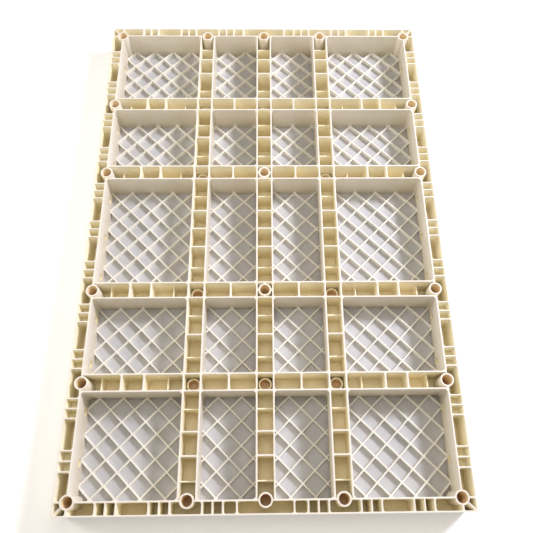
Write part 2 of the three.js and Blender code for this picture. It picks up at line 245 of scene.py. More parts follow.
def moulded_plastic(name, light, dark, deep, painted_shade_share, rough):
    """Injection-moulded ABS: flow clouds, painted depth shade, scuffed rims with a painted highlight, glossy
    patches and mould grain.
    """
    material = bpy.data.materials.new(name)
    material.use_nodes = True
    tree = material.node_tree
    shader = tree.nodes["Principled BSDF"]
    place = node(tree, "ShaderNodeTexCoord").outputs["Object"]
    stretched = node(tree, "ShaderNodeMapping", Vector=place, Scale=(1.0, 1.0, 0.35)).outputs["Vector"]

    # Flow clouds
    clouds = node(
        tree, "ShaderNodeTexNoise", Vector=stretched, Scale=cloud_scale(38.0), Detail=4.0, Roughness=0.6
    ).outputs["Fac"]
    cloud_share = node(tree, "ShaderNodeMapRange", i0=clouds, i1=0.35, i2=0.68).outputs[0]
    base = node(
        tree, "ShaderNodeMix", COLOUR_MIX, i0=cloud_share, i6=linear(light), i7=linear(dark)
    ).outputs[2]

    # Painted shade towards the bottom
    height = node(tree, "ShaderNodeSeparateXYZ", Vector=place).outputs["Z"]
    depth = node(
        tree, "ShaderNodeMapRange", {"interpolation_type": "SMOOTHSTEP"},
        i0=height, i1=RIM * MM, i2=LATTICE_TOP * MM, i3=0.0, i4=painted_shade_share,
    ).outputs[0]
    with_painted_shade = node(tree, "ShaderNodeMix", COLOUR_MIX, i0=depth, i6=base, i7=linear(deep)).outputs[2]

    # Pale marks on the rims: scuff marks and a painted highlight
    specks = node(
        tree, "ShaderNodeTexNoise", Vector=place, Scale=cloud_scale(5.0), Detail=5.0, Roughness=0.7
    ).outputs["Fac"]
    rim_zone = node(
        tree, "ShaderNodeMapRange", i0=height, i1=SCUFF_AND_HIGHLIGHT_FROM * MM, i2=SCUFF_AND_HIGHLIGHT_TO * MM
    ).outputs[0]
    scuff_and_highlight_spots = node(tree, "ShaderNodeMapRange", i0=specks, i1=0.46, i2=0.60, i3=0.15, i4=0.75).outputs[0]
    scuff_and_highlight_share = node(
        tree, "ShaderNodeMath", {"operation": "MULTIPLY"}, i0=rim_zone, i1=scuff_and_highlight_spots
    ).outputs[0]
    final = node(tree, "ShaderNodeMix", COLOUR_MIX, i0=scuff_and_highlight_share, i6=with_painted_shade, i7=linear(SCUFF_AND_HIGHLIGHT_TONE))
    tree.links.new(final.outputs[2], shader.inputs["Base Color"])

    # Patches of more and less gloss
    patches = node(
        tree, "ShaderNodeTexNoise", Vector=place, Scale=cloud_scale(16.0), Detail=3.0, Roughness=0.5
    ).outputs["Fac"]
    roughness = node(tree, "ShaderNodeMapRange", i0=patches, i1=0.3, i2=0.7, i3=rough - 0.06, i4=rough + 0.08)
    tree.links.new(roughness.outputs[0], shader.inputs["Roughness"])

    # Mould grain over slightly wavy walls
    grain = node(
        tree, "ShaderNodeTexNoise", Vector=place, Scale=cloud_scale(1.2), Detail=2.0, Roughness=0.6
    ).outputs["Fac"]
    waves = node(
        tree, "ShaderNodeTexNoise", Vector=stretched, Scale=cloud_scale(30.0), Detail=2.0, Roughness=0.5
    ).outputs["Fac"]
    wavy = node(tree, "ShaderNodeBump", Height=waves, Strength=0.25, Distance=0.6 * MM).outputs["Normal"]
    grained = node(
        tree, "ShaderNodeBump", Height=grain, Strength=0.18, Distance=0.12 * MM, Normal=wavy
    ).outputs["Normal"]
    tree.links.new(grained, shader.inputs["Normal"])
    shader.inputs["IOR"].default_value = ABS_IOR
    return material


# Outer walls, webs and rims: satin ivory as it leaves the mould, with painted shade that makes it a little
# greyer lower down.
rib_abs = moulded_plastic("moulded_ivory_abs", "#F3ECDF", "#ECE3D1", "#D0C6AE", 0.6, 0.46)
# Channels: the same skin with painted light, warmer as if lit through two walls, and painted shade lower
# down.
channel_abs = moulded_plastic("amber_abs_painted_channel_light", "#FFF9E4", "#FCF3D2", "#EFDBA9", 0.5, 0.46)
# Blind bores: the same skin again with painted shade, brown towards the bottom as if lit only through
# plastic.
bore_abs = moulded_plastic("brown_abs_painted_bore_shade", "#F7E6C6", "#F1DAB0", "#DDB37C", 0.6, 0.46)
# Lattices: thin ribs right on the white sheet, painted paler with painted light, as if the sheet shone
# through them.
lattice_abs = moulded_plastic("pale_ivory_abs_painted_light", "#F4F1E6", "#ECE8DA", "#ECE8DA", 0.0, 0.46)
# Face sheet: white ABS pressed against a polished mould half, so it is smoother than the rest.
sheet_abs = moulded_plastic("moulded_white_abs", "#C6C5C5", "#BCBABA", "#BCBABA", 0.0, 0.40)
lit_and_shaded_abs = [rib_abs, channel_abs, bore_abs]
print("materials:", rib_abs.name, channel_abs.name, bore_abs.name, lattice_abs.name, sheet_abs.name)

# %% [markdown]
# ## Walls from a floor plan
# Every rail and rib of the panel is a set of thin walls on a floor, like rooms on a building plan.
# It could be stacked from boxes, but boxes leave hidden faces where they meet, and a bevel can't run
# round a corner that isn't there. So each piece starts as one flat sheet, cut along the wall lines
# with bisect_plane, and the cells that are walls are extruded up. The result is one closed skin.

# %% Plan helpers
SAME = 0.01  # places closer than this are one place
WIDEST_WALL = 3.0


def everything(bm):
    """All parts of a bmesh, as bisect_plane takes them."""
    return bm.verts[:] + bm.edges[:] + bm.faces[:]


def looks_up(face):
    return face.normal.z > 0.9


def both_sides(lines, reach):
    """The places at this distance on both sides of each line."""
    return [line + s * reach for line in lines for s in (-1, 1)]


def near(value, lines, reach):
    """True where a value is less than the reach away from any of the lines."""
    return any(abs(value - line) < reach for line in lines)


def plan(x_lines, y_lines, level):
    """A flat rectangle at one level, cut into cells along the lines."""
    xs, ys = sorted(x_lines), sorted(y_lines)
    bm = bmesh.new()
    bmesh.ops.create_grid(bm, x_segments=1, y_segments=1, size=0.5)
    bmesh.ops.scale(bm, vec=(xs[-1] - xs[0], ys[-1] - ys[0], 1), verts=bm.verts)
    bmesh.ops.translate(bm, vec=((xs[0] + xs[-1]) / 2, (ys[0] + ys[-1]) / 2, level), verts=bm.verts)
    for x in xs[1:-1]:
        bmesh.ops.bisect_plane(bm, geom=everything(bm), plane_co=(x, 0, 0), plane_no=(1, 0, 0))
    for y in ys[1:-1]:
        bmesh.ops.bisect_plane(bm, geom=everything(bm), plane_co=(0, y, 0), plane_no=(0, 1, 0))
    return bm


def with_middles(lines):
    """The lines, and one more down the middle of each gap that is wider than a wall."""
    lines = sorted(lines)
    return lines + [(a + b) / 2 for a, b in zip(lines, lines[1:]) if b - a > WIDEST_WALL]


def lift(bm, faces, distance, keep=False):
    """Extrude faces as one region along Z. Only a loose sheet keeps its old faces, as its underside."""
    made = bmesh.ops.extrude_face_region(bm, geom=faces)["geom"]
    moved = [v for v in made if isinstance(v, bmesh.types.BMVert)]
    bmesh.ops.translate(bm, vec=(0, 0, distance), verts=moved)
    if not keep:
        bmesh.ops.delete(bm, geom=faces, context="FACES")
    bm.normal_update()


def raise_cells(bm, height_at):
    """Raise each cell from the slab to the height that the layout gives it, storey by storey."""
    level = LATTICE_TOP
    for storey in sorted({height_at(*f.calc_center_median().xy) for f in bm.faces if looks_up(f)}):
        if storey > level + SAME:
            tops = [
                f
                for f in bm.faces
                if looks_up(f)
                and abs(f.calc_center_median().z - level) < SAME
                and height_at(*f.calc_center_median().xy) > storey - SAME
            ]
            lift(bm, tops, storey - level)
            level = storey


def build_up(bm, height_at, reaches_sheet):
    """Make a plan a slab, raise its walls, and take some down through the hollow to the face sheet."""
    lift(bm, bm.faces[:], SLAB, keep=True)
    raise_cells(bm, height_at)
    unders = [f for f in bm.faces if f.normal.z < -0.9 and reaches_sheet(*f.calc_center_median().xy)]
    lift(bm, unders, SHEET_TOP - SLAB_UNDER)


print("lines with middles, for example:", sorted(with_middles([0, WALL, 20])))

# %% [markdown]
# ## Fillets and rims
# A mould has no sharp inner corners: where a web meets a wall, a fillet two or three millimetres wide
# lets the melt flow and carries the load. The rims are rounded by about half a millimetre, which gives
# every wall its bright edge line. Both are bevels: one on upright inside corners, one on top edges.
# A bevel needs room, and cut lines that end at a corner take it away, so they are dissolved first.

# %% Edge helpers
RIM_ROUND = 0.5
WIDE_FILLET = 2.8
SMALL_FILLET = 0.9
BEND = 0.52  # in radians, about 30 degrees


def is_upright(edge):
    run = edge.verts[1].co - edge.verts[0].co
    return abs(run.z) > 0.99 * run.length


def is_flat(edge):
    return len(edge.link_faces) == 2 and edge.calc_face_angle(1) < 0.01


def is_corner(edge, convex):
    """True at a bend of more than about 30 degrees that is convex or concave as asked."""
    return len(edge.link_faces) == 2 and edge.calc_face_angle(0) > BEND and edge.is_convex == convex


def bevel(bm, edges, size, steps):
    """Round edges with the settings that every fillet and rim here has."""
    if edges:
        bmesh.ops.bevel(
            bm, geom=edges, offset=size, offset_type="OFFSET", segments=steps, profile=0.5,
            affect="EDGES", clamp_overlap=False, material=-1,
        )
        bm.normal_update()


def clear_tops(bm):
    """Dissolve the flat cut lines that end at an inside corner, so that its fillet has room."""
    corners = {v for e in bm.edges if is_upright(e) and is_corner(e, False) for v in e.verts}
    lines = [
        e
        for e in bm.edges
        if is_flat(e) and all(looks_up(f) for f in e.link_faces) and any(v in corners for v in e.verts)
    ]
    bmesh.ops.dissolve_edges(bm, edges=lines, use_verts=False)
    bm.normal_update()


def fillet_corners(bm, size_at):
    """Fillet the upright inside corners above the slab. size_at(x, y) gives the fillet of each."""
    clear_tops(bm)
    sizes = {}
    for edge in bm.edges:
        above_slab = max(v.co.z for v in edge.verts) > LATTICE_TOP + SAME
        if above_slab and is_upright(edge) and is_corner(edge, False):
            sizes.setdefault(size_at(*edge.verts[0].co.xy), []).append(edge)
    for size in sorted(sizes, reverse=True):
        bevel(bm, [e for e in sizes[size] if e.is_valid], size, 3)


def round_rims(bm, skip=lambda edge: False, size=RIM_ROUND, above=LATTICE_TOP + 0.1):
    """Round the top edges of walls and webs, apart from those that butt against a neighbour."""
    rims = [
        e
        for e in bm.edges
        if is_corner(e, True)
        and min(v.co.z for v in e.verts) > above
        and any(looks_up(f) for f in e.link_faces)
        and min(abs(f.normal.z) for f in e.link_faces) < 0.1
        and not skip(e)
    ]
    bevel(bm, rims, size, 2)


def butts(*planes):
    """A test for edges in one of these end planes, each an axis and a place, where a neighbour goes on."""
    return lambda edge: any(all(abs(v.co[axis] - at) < SAME for v in edge.verts) for axis, at in planes)


print("fillets:", WIDE_FILLET, SMALL_FILLET, "rims:", RIM_ROUND)

# %% [markdown]
# ## Pillars
# At each crossing stands a round pillar with a blind bore, which keeps its wall as thin as the ribs'.
# It is a cylinder whose top is inset and pushed down, which leaves the ring and the floor of the bore.
# Walls stop inside the ring, so they never show in the bore.

# %% Pillar helpers
PILLAR_SIDES = 40
RING_GRIP = 9.2  # walls stop this far from a pillar's centre, inside its ring
RING_SIDE = 1.8  # a little more than one side of the ring


def pillar(bm, x, y, top):
    """A round pillar with a blind bore on the slab."""
    height = top - LATTICE_TOP
    verts = bmesh.ops.create_cone(
        bm, cap_ends=True, segments=PILLAR_SIDES, radius1=PILLAR_OUTER, radius2=PILLAR_OUTER, depth=height,
    )["verts"]
    bmesh.ops.translate(bm, vec=(x, y, LATTICE_TOP + height / 2), verts=verts)
    bm.normal_update()
    cap = next(f for v in verts for f in v.link_faces if looks_up(f))
    bmesh.ops.inset_individual(bm, faces=[cap], thickness=PILLAR_OUTER - PILLAR_BORE)
    lift(bm, [cap], LATTICE_TOP + PILLAR_FLOOR - top)


def off_rings(centres):
    """A test for edges that aren't a side of the ring of a pillar at one of the centres."""

    def off_ring(edge):
        return edge.calc_length() > RING_SIDE or not any(
            all(math.dist(v.co.xy, centre) < PILLAR_OUTER + 0.1 for v in edge.verts) for centre in centres
        )

    return off_ring


def in_bore(x, y, centres):
    """True inside the bore of a pillar at one of the centres."""
    return any(math.dist((x, y), centre) < PILLAR_BORE + 0.2 for centre in centres)


side_length = 2 * PILLAR_OUTER * math.sin(math.pi / PILLAR_SIDES)
print("pillar sides:", PILLAR_SIDES, "each", round(side_length, 2), "mm long")

# %% [markdown]
# ## Bars and gussets
# Short straight bars tie pillars to walls. A cube is scaled, turned and put in place in one matrix.
# Small gussets, three-cornered bars, stiffen the corners where two separate members meet. Each is a
# bar cut in half from corner to corner, and contextual_create closes the cut.

# %% Bar and gusset helpers
SINK = 0.3  # how far a gusset runs into the walls of its corner
OUTER_GUSSET = 3.4
INNER_GUSSET = 2.4
GUSSET_TOP = RIM - 0.3


def bar(bm, centre, size, angle=0.0):
    """A straight bar: a block that is scaled, turned about Z and put in place."""
    move = Matrix.Translation(centre) @ Matrix.Rotation(angle, 4, "Z") @ Matrix.Diagonal((*size, 1.0))
    return bmesh.ops.create_cube(bm, size=1, matrix=move)["verts"]


def gusset(bm, x, y, toward_x, toward_y, size, low):
    """A three-cornered upright bar in the corner at x, y, open towards the given quadrant."""
    reach = size + SINK
    shift = reach / 2 - SINK
    place = (x + toward_x * shift, y + toward_y * shift, (low + GUSSET_TOP) / 2)
    verts = bar(bm, place, (reach, reach, GUSSET_TOP - low))
    edges = dict.fromkeys(e for v in verts for e in v.link_edges)
    faces = dict.fromkeys(f for v in verts for f in v.link_faces)
    cut = bmesh.ops.bisect_plane(
        bm, geom=[*verts, *edges, *faces], plane_co=place, plane_no=(toward_x, toward_y, 0), clear_outer=True,
    )
    rim = [g for g in cut["geom_cut"] if isinstance(g, bmesh.types.BMEdge)]
    bmesh.ops.contextual_create(bm, geom=rim)


print("gussets:", OUTER_GUSSET, "outside and", INNER_GUSSET, "inside")

# %% [markdown]
# ## From a bmesh to a finished piece
# Its faces are shared out between the copies of the plastic by where they are: bores get the one
# with painted shade, channels the one with painted light, and all the rest the ivory one.

# %% Finishing helper
SMOOTH_UP_TO = math.radians(36)
# Places of the copy with painted shade for bores and the copy with painted light for channels.
BORE_PAINTED_SHADE, CHANNEL_PAINTED_LIGHT = 2, 1  # places in the list of shades of one shot
LINING = 0.3  # faces this close to the hollow of a channel line it


def finished(bm, cad_node, materials, channel=lambda x, y: False, bores=()):
    """Bring a bmesh to metres and make it the piece that stands for one CAD node.

    channel(x, y) tells which faces below the rims line a channel, and bores are the bores' centres.
    """
    # Faces in bores get the copy with painted shade, and faces in channels the copy with painted light.
    for face in bm.faces:
        centre = face.calc_center_median()
        below_rims = centre.z < RIM - RIM_ROUND - 0.05
        if below_rims and in_bore(centre.x, centre.y, bores):
            face.material_index = BORE_PAINTED_SHADE
        elif below_rims and channel(centre.x, centre.y):
            face.material_index = CHANNEL_PAINTED_LIGHT
    bmesh.ops.scale(bm, vec=(MM, MM, MM), verts=bm.verts)
    bmesh.ops.recalc_face_normals(bm, faces=bm.faces)
    open_edges = sum(not e.is_manifold for e in bm.edges)
    if open_edges:
        print("open edges in", cad_node, open_edges)
    name = f"{cad_node}_moulding"
    mesh = bpy.data.meshes.new(name)
    bm.to_mesh(mesh)
    bm.free()
    mesh.polygons.foreach_set("use_smooth", [True] * len(mesh.polygons))
    mesh.set_sharp_from_angle(angle=SMOOTH_UP_TO)
    for material in materials:
        mesh.materials.append(material)
    piece = bpy.data.objects.new(name, mesh)
    bpy.context.scene.collection.objects.link(piece)
    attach(piece, "root")
    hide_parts(cad_node)
    return piece


print("faces are smooth up to a bend of", round(math.degrees(SMOOTH_UP_TO)), "degrees")

# %% [markdown]
# ## The face sheet
# This is the skin that touches the concrete: a plain sheet 5 mm thick with corners of 5 mm radius and
# a slightly eased working edge. One grid face is extruded, and its edges are bevelled.

# %% Face sheet
CORNER_RADIUS = 5.0
WORKING_EDGE = 0.4
bm = plan([-HALF_W, HALF_W], [-HALF_L, HALF_L], 0)
lift(bm, bm.faces[:], SHEET_TOP, keep=True)
bevel(bm, [e for e in bm.edges if is_upright(e)], CORNER_RADIUS, 6)
under = [e for e in bm.edges if is_corner(e, True) and max(v.co.z for v in e.verts) < SAME]
bevel(bm, under, WORKING_EDGE, 2)
sheet = finished(bm, "face_sheet", [sheet_abs])
print("face sheet faces:", len(sheet.data.polygons))

# %% [markdown]
# ## The bay lattices
# The floor of every bay is stiffened by a lattice of thin ribs at 45 degrees. The ribs are 2.4 mm
# thick and 8 mm high, and the squares measure 37.3 mm from corner to corner. The bay floor is cut
# along both sides of every rib line, the squares between are deleted, and the net that is left is
# extruded. So each crossing is one solid joint, as in the moulding. A short rib that only crosses a
# corner of its bay is kept from 15 mm up.

# %% Lines of a lattice
PITCH = 37.3
LATTICE_RIB = 2.4
LATTICE_SHIFT = 3.0
LEAST_RIB = 15.0
MOST_RIBS = 80  # more rib lines to try on either side than any bay holds
COS45 = math.sqrt(0.5)


def run_in_bay(offset, slope, x0, x1, y0, y1, middle):
    """How long a rib line is inside the bay."""
    at_edges = sorted(offset + slope * (y - middle) for y in (y0, y1))
    return (min(x1, at_edges[1]) - max(x0, at_edges[0])) / COS45


def rib_lines(x0, x1, y0, y1, middle):
    """Rising and falling lines that cross inside the bay, or run far enough across its corner."""
    half = PITCH / 2
    rising, falling = set(), set()
    for k in range(-MOST_RIBS, MOST_RIBS + 1):
        for lines, slope in ((rising, 1), (falling, -1)):
            if run_in_bay(k * PITCH, slope, x0, x1, y0, y1, middle) > LEAST_RIB:
                lines.add(k * PITCH)
    last = math.ceil(HALF_W / half) + 1
    reach = math.ceil((y1 - y0) / half) + 2
    for n in range(-last, last + 1):
        for m in range(-reach, reach + 1):
            x, y = n * half, middle + m * half
            inside = x0 + LATTICE_RIB < x < x1 - LATTICE_RIB and y0 + LATTICE_RIB < y < y1 - LATTICE_RIB
            if (n + m) % 2 == 0 and inside:
                rising.add((n - m) // 2 * PITCH)
                falling.add((n + m) // 2 * PITCH)
    return sorted(rising), sorted(falling)


print("lattice squares:", PITCH, "mm from corner to corner")

# %% Lattices
LATTICE_FILLET = 0.8
LATTICE_ROUND = 0.4


def lattice(cad_node):
    """The crossed ribs on the floor of one bay."""
    low, high = box_mm(cad_node)
    steps = math.floor((low.y + high.y) / PITCH + 0.5)
    middle = steps * PITCH / 2 + LATTICE_SHIFT
    rising, falling = rib_lines(low.x, high.x, low.y, high.y, middle)
    bm = plan([low.x, high.x], [low.y, high.y], SHEET_TOP)
    for offsets, slope in ((rising, 1), (falling, -1)):
        across = Vector((-slope * COS45, COS45, 0))
        for offset in offsets:
            for side in (-1, 1):
                spot = Vector((offset, middle, 0)) + across * side * LATTICE_RIB / 2
                bmesh.ops.bisect_plane(bm, geom=everything(bm), plane_co=spot, plane_no=across)

    def on_rib(x, y):
        """Along a rising rib x minus y stays the same, and along a falling one x plus y does."""
        reach = LATTICE_RIB / 2 / COS45
        return near(x - (y - middle), rising, reach) or near(x + (y - middle), falling, reach)

    open_cells = [f for f in bm.faces if not on_rib(*f.calc_center_median().xy)]
    bmesh.ops.delete(bm, geom=open_cells, context="FACES")
    lift(bm, bm.faces[:], LATTICE_TOP - SHEET_TOP, keep=True)
    inner = [e for e in bm.edges if is_upright(e) and is_corner(e, False)]
    bevel(bm, inner, LATTICE_FILLET, 1)
    ends = butts((0, low.x), (0, high.x), (1, low.y), (1, high.y))
    round_rims(bm, ends, LATTICE_ROUND, SHEET_TOP + 1)
    return finished(bm, cad_node, [lattice_abs])


lattices = [lattice(f"lattice_r{row}_c{column}") for row in range(1, 6) for column in range(1, 5)]
print("lattices:", len(lattices), "faces in the first:", len(lattices[0].data.polygons))

# %% [markdown]
# ## Long edge rails
# Each long rail is two walls over a slab, with webs in threes every 75 mm. Between the webs sits a
# block with a 12 mm hole, through which a wedge pin ties one panel to the next. A pillar stands on
# the inner wall in line with every cross rib. The holes are cut with a Boolean once the walls stand,
# because a round hole through a row of walls is a true cut on the real tool as well: a sliding core.

# %% Pin rows and pin holes
PIN_PITCH = 75.0
PIN_OFFSET = 14.6
PIN_WEB = 2.2
PIN_RADIUS = 6.0
PIN_SIDES = 32
PIN_CUT = 40.0
PIN_LEVEL = RIM - 35.0
PIN_BLOCK_TOP = PIN_LEVEL + 10.0
PIN_REACH = PIN_OFFSET + PIN_WEB / 2
PIN_ROWS = [k * PIN_PITCH for k in range(-5, 6)]
ON_LINE = 0.1  # a corner this close to a web's face belongs to it


def in_threes(rows):
    """Places of the three webs in each row."""
    return [row + offset for row in rows for offset in (-PIN_OFFSET, 0, PIN_OFFSET)]


def drilled(bm, x):
    """Cut the pin holes through a rail that runs along x, and hand back its mesh as a bmesh."""
    cutter_bm = bmesh.new()
    for y in PIN_ROWS:
        lie = Matrix.Translation((x, y, PIN_LEVEL)) @ Matrix.Rotation(math.pi / 2, 4, "Y")
        bmesh.ops.create_cone(
            cutter_bm, cap_ends=True, segments=PIN_SIDES, radius1=PIN_RADIUS, radius2=PIN_RADIUS,
            depth=PIN_CUT, matrix=lie,
        )
    objects = []
    for name, source in (("rail_body", bm), ("pin_cutter", cutter_bm)):
        mesh = bpy.data.meshes.new(name)
        source.to_mesh(mesh)
        source.free()
        objects.append(bpy.data.objects.new(name, mesh))
        bpy.context.scene.collection.objects.link(objects[-1])
    body, cutter = objects
    cut = body.modifiers.new("pin_holes", "BOOLEAN")
    cut.operation, cut.solver, cut.object = "DIFFERENCE", "EXACT", cutter
    result = bmesh.new()
    result.from_object(body, bpy.context.evaluated_depsgraph_get())
    for obj in objects:
        bpy.data.meshes.remove(obj.data)
    return result


print("pin holes in each long rail:", len(PIN_ROWS))

# %% Long edge rails
SIDE_INNER_OUT = SIDE_INNER + WALL
SIDE_OUTER_IN = HALF_W - WALL
PILLAR_X = SIDE_INNER + WALL / 2


def side_rail(side, cad_node):
    """One long rail. Each cell's height comes from the lines that it lies between."""
    webs = in_threes(PIN_ROWS)
    outer_web_faces = both_sides(PIN_ROWS, PIN_REACH)
    bores = [(side * PILLAR_X, y) for y in CROSSES]
    x_lines = [side * x for x in (SIDE_INNER, SIDE_INNER_OUT, SIDE_OUTER_IN, HALF_W)]
    y_lines = [-POST_Y, POST_Y] + both_sides(webs, PIN_WEB / 2) + both_sides(CROSSES, RING_GRIP)

    def height(x, y):
        if abs(x) > SIDE_OUTER_IN:
            return RIM
        if abs(x) < SIDE_INNER_OUT:
            return LATTICE_TOP if near(y, CROSSES, RING_GRIP) else RIM
        if near(y, webs, PIN_WEB / 2):
            return RIM
        return PIN_BLOCK_TOP if near(y, PIN_ROWS, PIN_REACH) else LATTICE_TOP

    bm = plan(x_lines, with_middles(y_lines), SLAB_UNDER)
    build_up(bm, height, lambda x, y: not SIDE_INNER_OUT < abs(x) < SIDE_OUTER_IN)
    fillet_corners(bm, lambda x, y: WIDE_FILLET if near(y, outer_web_faces, ON_LINE) else SMALL_FILLET)
    round_rims(bm, butts((1, -POST_Y), (1, POST_Y)))
    bm = drilled(bm, side * (SIDE_INNER + HALF_W) / 2)
    for x, y in bores:
        pillar(bm, x, y, RIM)
    round_rims(bm, off_rings(bores))

    def in_channel(x, y):
        return SIDE_INNER_OUT - LINING < abs(x) < SIDE_OUTER_IN + LINING

    return finished(bm, cad_node, lit_and_shaded_abs, channel=in_channel, bores=bores)


side_rails = [side_rail(-1, "rail_left"), side_rail(1, "rail_right")]
print("long rails:", [(r.name, len(r.data.polygons)) for r in side_rails])

# %% [markdown]
# ## Short edge rails
# The short rails are made like the long ones, with webs in threes between the lengthwise ribs and a
# pillar in line with each rib. They have no pin holes.

# %% Short edge rails
END_INNER_OUT = END_INNER + WALL
END_OUTER_IN = HALF_L - WALL
PILLAR_Y = END_INNER + WALL / 2
WEB_ROWS = [s * k * PIN_PITCH for k in (1, 2, 3) for s in (-1, 1)]
SINGLE_WEBS = [-40.7, 40.7]


def end_rail(side, cad_node):
    """One short rail, made by the same steps as a long one."""
    webs = in_threes(WEB_ROWS) + SINGLE_WEBS
    wide_faces = both_sides(WEB_ROWS, PIN_REACH) + both_sides(SINGLE_WEBS, PIN_WEB / 2)
    bores = [(x, side * PILLAR_Y) for x in SPINES.values()]
    x_lines = [-POST_X, POST_X] + both_sides(webs, PIN_WEB / 2) + both_sides(SPINES.values(), RING_GRIP)
    y_lines = [side * y for y in (END_INNER, END_INNER_OUT, END_OUTER_IN, HALF_L)]

    def height(x, y):
        if abs(y) > END_OUTER_IN:
            return RIM
        if abs(y) < END_INNER_OUT:
            return LATTICE_TOP if near(x, SPINES.values(), RING_GRIP) else RIM
        return RIM if near(x, webs, PIN_WEB / 2) else LATTICE_TOP

    bm = plan(with_middles(x_lines), y_lines, SLAB_UNDER)
    build_up(bm, height, lambda x, y: not END_INNER_OUT < abs(y) < END_OUTER_IN)
    fillet_corners(bm, lambda x, y: WIDE_FILLET if near(x, wide_faces, ON_LINE) else SMALL_FILLET)
    round_rims(bm, butts((0, -POST_X), (0, POST_X)))
    for x, y in bores:
        pillar(bm, x, y, RIM)
    round_rims(bm, off_rings(bores))

    def in_channel(x, y):
        return END_INNER_OUT - LINING < abs(y) < END_OUTER_IN + LINING

    return finished(bm, cad_node, lit_and_shaded_abs, channel=in_channel, bores=bores)


end_rails = [end_rail(-1, "rail_near"), end_rail(1, "rail_far")]
print("short rails:", [(r.name, len(r.data.polygons)) for r in end_rails])

# %% [markdown]
# ## Corner posts
# In each corner the walls of both rails run on to the outer walls around a pillar, and a short
# diagonal bar ties the pillar to the rounded outside corner, which takes the knocks on a building site.
# All four corners are worked out in one quarter: abs() folds any place in the panel into it.

# %% Tests and bar of a corner post
POST_FILLET = 2.2
TIP_CLEAR = 6.0  # no cut lines this close to the outside corner, which leaves room to round it
DIAGONAL = 3.0
DIAGONAL_TOP = RIM - 0.4
DIAGONAL_BACK = 0.3  # its square end stays this far back from the corner, and sinks into both walls


def post_height(x, y):
    """How high a cell of a corner post stands."""
    x, y = abs(x), abs(y)
    on_outer = x > SIDE_OUTER_IN or y > END_OUTER_IN
    on_side = SIDE_INNER < x < SIDE_INNER_OUT and abs(y - PILLAR_Y) > RING_GRIP
    on_end = END_INNER < y < END_INNER_OUT and abs(x - PILLAR_X) > RING_GRIP
    return RIM if on_outer or on_side or on_end else LATTICE_TOP


def post_reaches_sheet(x, y):
    """True where a wall of a corner post goes down to the face sheet."""
    x, y = abs(x), abs(y)
    on_outer = x > SIDE_OUTER_IN or y > END_OUTER_IN
    return on_outer or SIDE_INNER < x < SIDE_INNER_OUT or END_INNER < y < END_INNER_OUT


def in_post_channel(x, y):
    """True in the hollow of a corner post, off its pillar."""
    x, y = abs(x), abs(y)
    in_walls = x < SIDE_OUTER_IN + LINING and y < END_OUTER_IN + LINING
    past_walls = x > SIDE_INNER_OUT - LINING or y > END_INNER_OUT - LINING
    off_pillar = math.dist((x, y), (PILLAR_X, PILLAR_Y)) > PILLAR_OUTER + LINING
    return in_walls and past_walls and off_pillar


def from_tip(vert):
    """How far a vertex is from the outside corner of the panel, seen from above."""
    return math.dist((abs(vert.co.x), abs(vert.co.y)), (HALF_W, HALF_L))


def diagonal_bar(bm, sx, sy):
    """The bar from a pillar to the outside corner, with rounded top edges."""
    corner = Vector((sx * (SIDE_OUTER_IN - DIAGONAL_BACK), sy * (END_OUTER_IN - DIAGONAL_BACK), 0))
    centre = Vector((sx * PILLAR_X, sy * PILLAR_Y, 0))
    run = corner - centre
    start = centre + run.normalized() * RING_GRIP
    middle = (start + corner) / 2
    middle.z = (LATTICE_TOP + DIAGONAL_TOP) / 2
    size = ((corner - start).length, DIAGONAL, DIAGONAL_TOP - LATTICE_TOP)
    verts = bar(bm, middle, size, math.atan2(run.y, run.x))
    edges = dict.fromkeys(e for v in verts for e in v.link_edges)
    level = [e for e in edges if min(v.co.z for v in e.verts) > RIM - 1]
    bevel(bm, [e for e in level if e.calc_length() > DIAGONAL + 1], RIM_ROUND, 2)


print("diagonal bars:", DIAGONAL, "mm thick, up to", round(DIAGONAL_TOP, 1))

# %% Corner posts
POST_XS = (
    POST_X, PILLAR_X - RING_GRIP, SIDE_INNER, SIDE_INNER_OUT, PILLAR_X + RING_GRIP, SIDE_OUTER_IN, HALF_W,
)
POST_YS = (
    POST_Y, PILLAR_Y - RING_GRIP, END_INNER, END_INNER_OUT, PILLAR_Y + RING_GRIP, END_OUTER_IN, HALF_L,
)


def in_bay(face):
    """True for a cell that belongs to the bay and not to the corner post beside it."""
    x, y = face.calc_center_median().xy
    return abs(x) < SIDE_INNER and abs(y) < END_INNER


def corner_post(sx, sy, cad_node):
    """One corner: outer walls, the ends of both inner walls, a pillar and a diagonal bar."""
    hub = (sx * PILLAR_X, sy * PILLAR_Y)
    bm = plan([sx * x for x in with_middles(POST_XS)], [sy * y for y in with_middles(POST_YS)], SLAB_UNDER)
    bmesh.ops.delete(bm, geom=[f for f in bm.faces if in_bay(f)], context="FACES")
    build_up(bm, post_height, post_reaches_sheet)
    clear_tops(bm)
    crowded = [e for e in bm.edges if is_flat(e) and all(from_tip(v) < TIP_CLEAR for v in e.verts)]
    bmesh.ops.dissolve_edges(bm, edges=crowded, use_verts=True)
    bm.normal_update()
    upright = [e for e in bm.edges if is_upright(e)]
    outer = [e for e in upright if from_tip(e.verts[0]) < SAME]
    inner = [e for e in upright if is_corner(e, False) and min(v.co.z for v in e.verts) > LATTICE_TOP - SAME]
    bevel(bm, inner, POST_FILLET, 3)
    bevel(bm, [e for e in outer if e.is_valid], CORNER_RADIUS, 6)
    round_rims(bm, butts((0, sx * POST_X), (1, sy * POST_Y)))
    diagonal_bar(bm, sx, sy)
    pillar(bm, *hub, RIM)
    round_rims(bm, off_rings([hub]))
    return finished(bm, cad_node, lit_and_shaded_abs, channel=in_post_channel, bores=[hub])


posts = [
    corner_post(sx, sy, f"post_{end}_{side}")
    for sy, end in ((-1, "near"), (1, "far"))
    for sx, side in ((-1, "left"), (1, "right"))
]
print("corner posts:", [(p.name, len(p.data.polygons)) for p in posts])

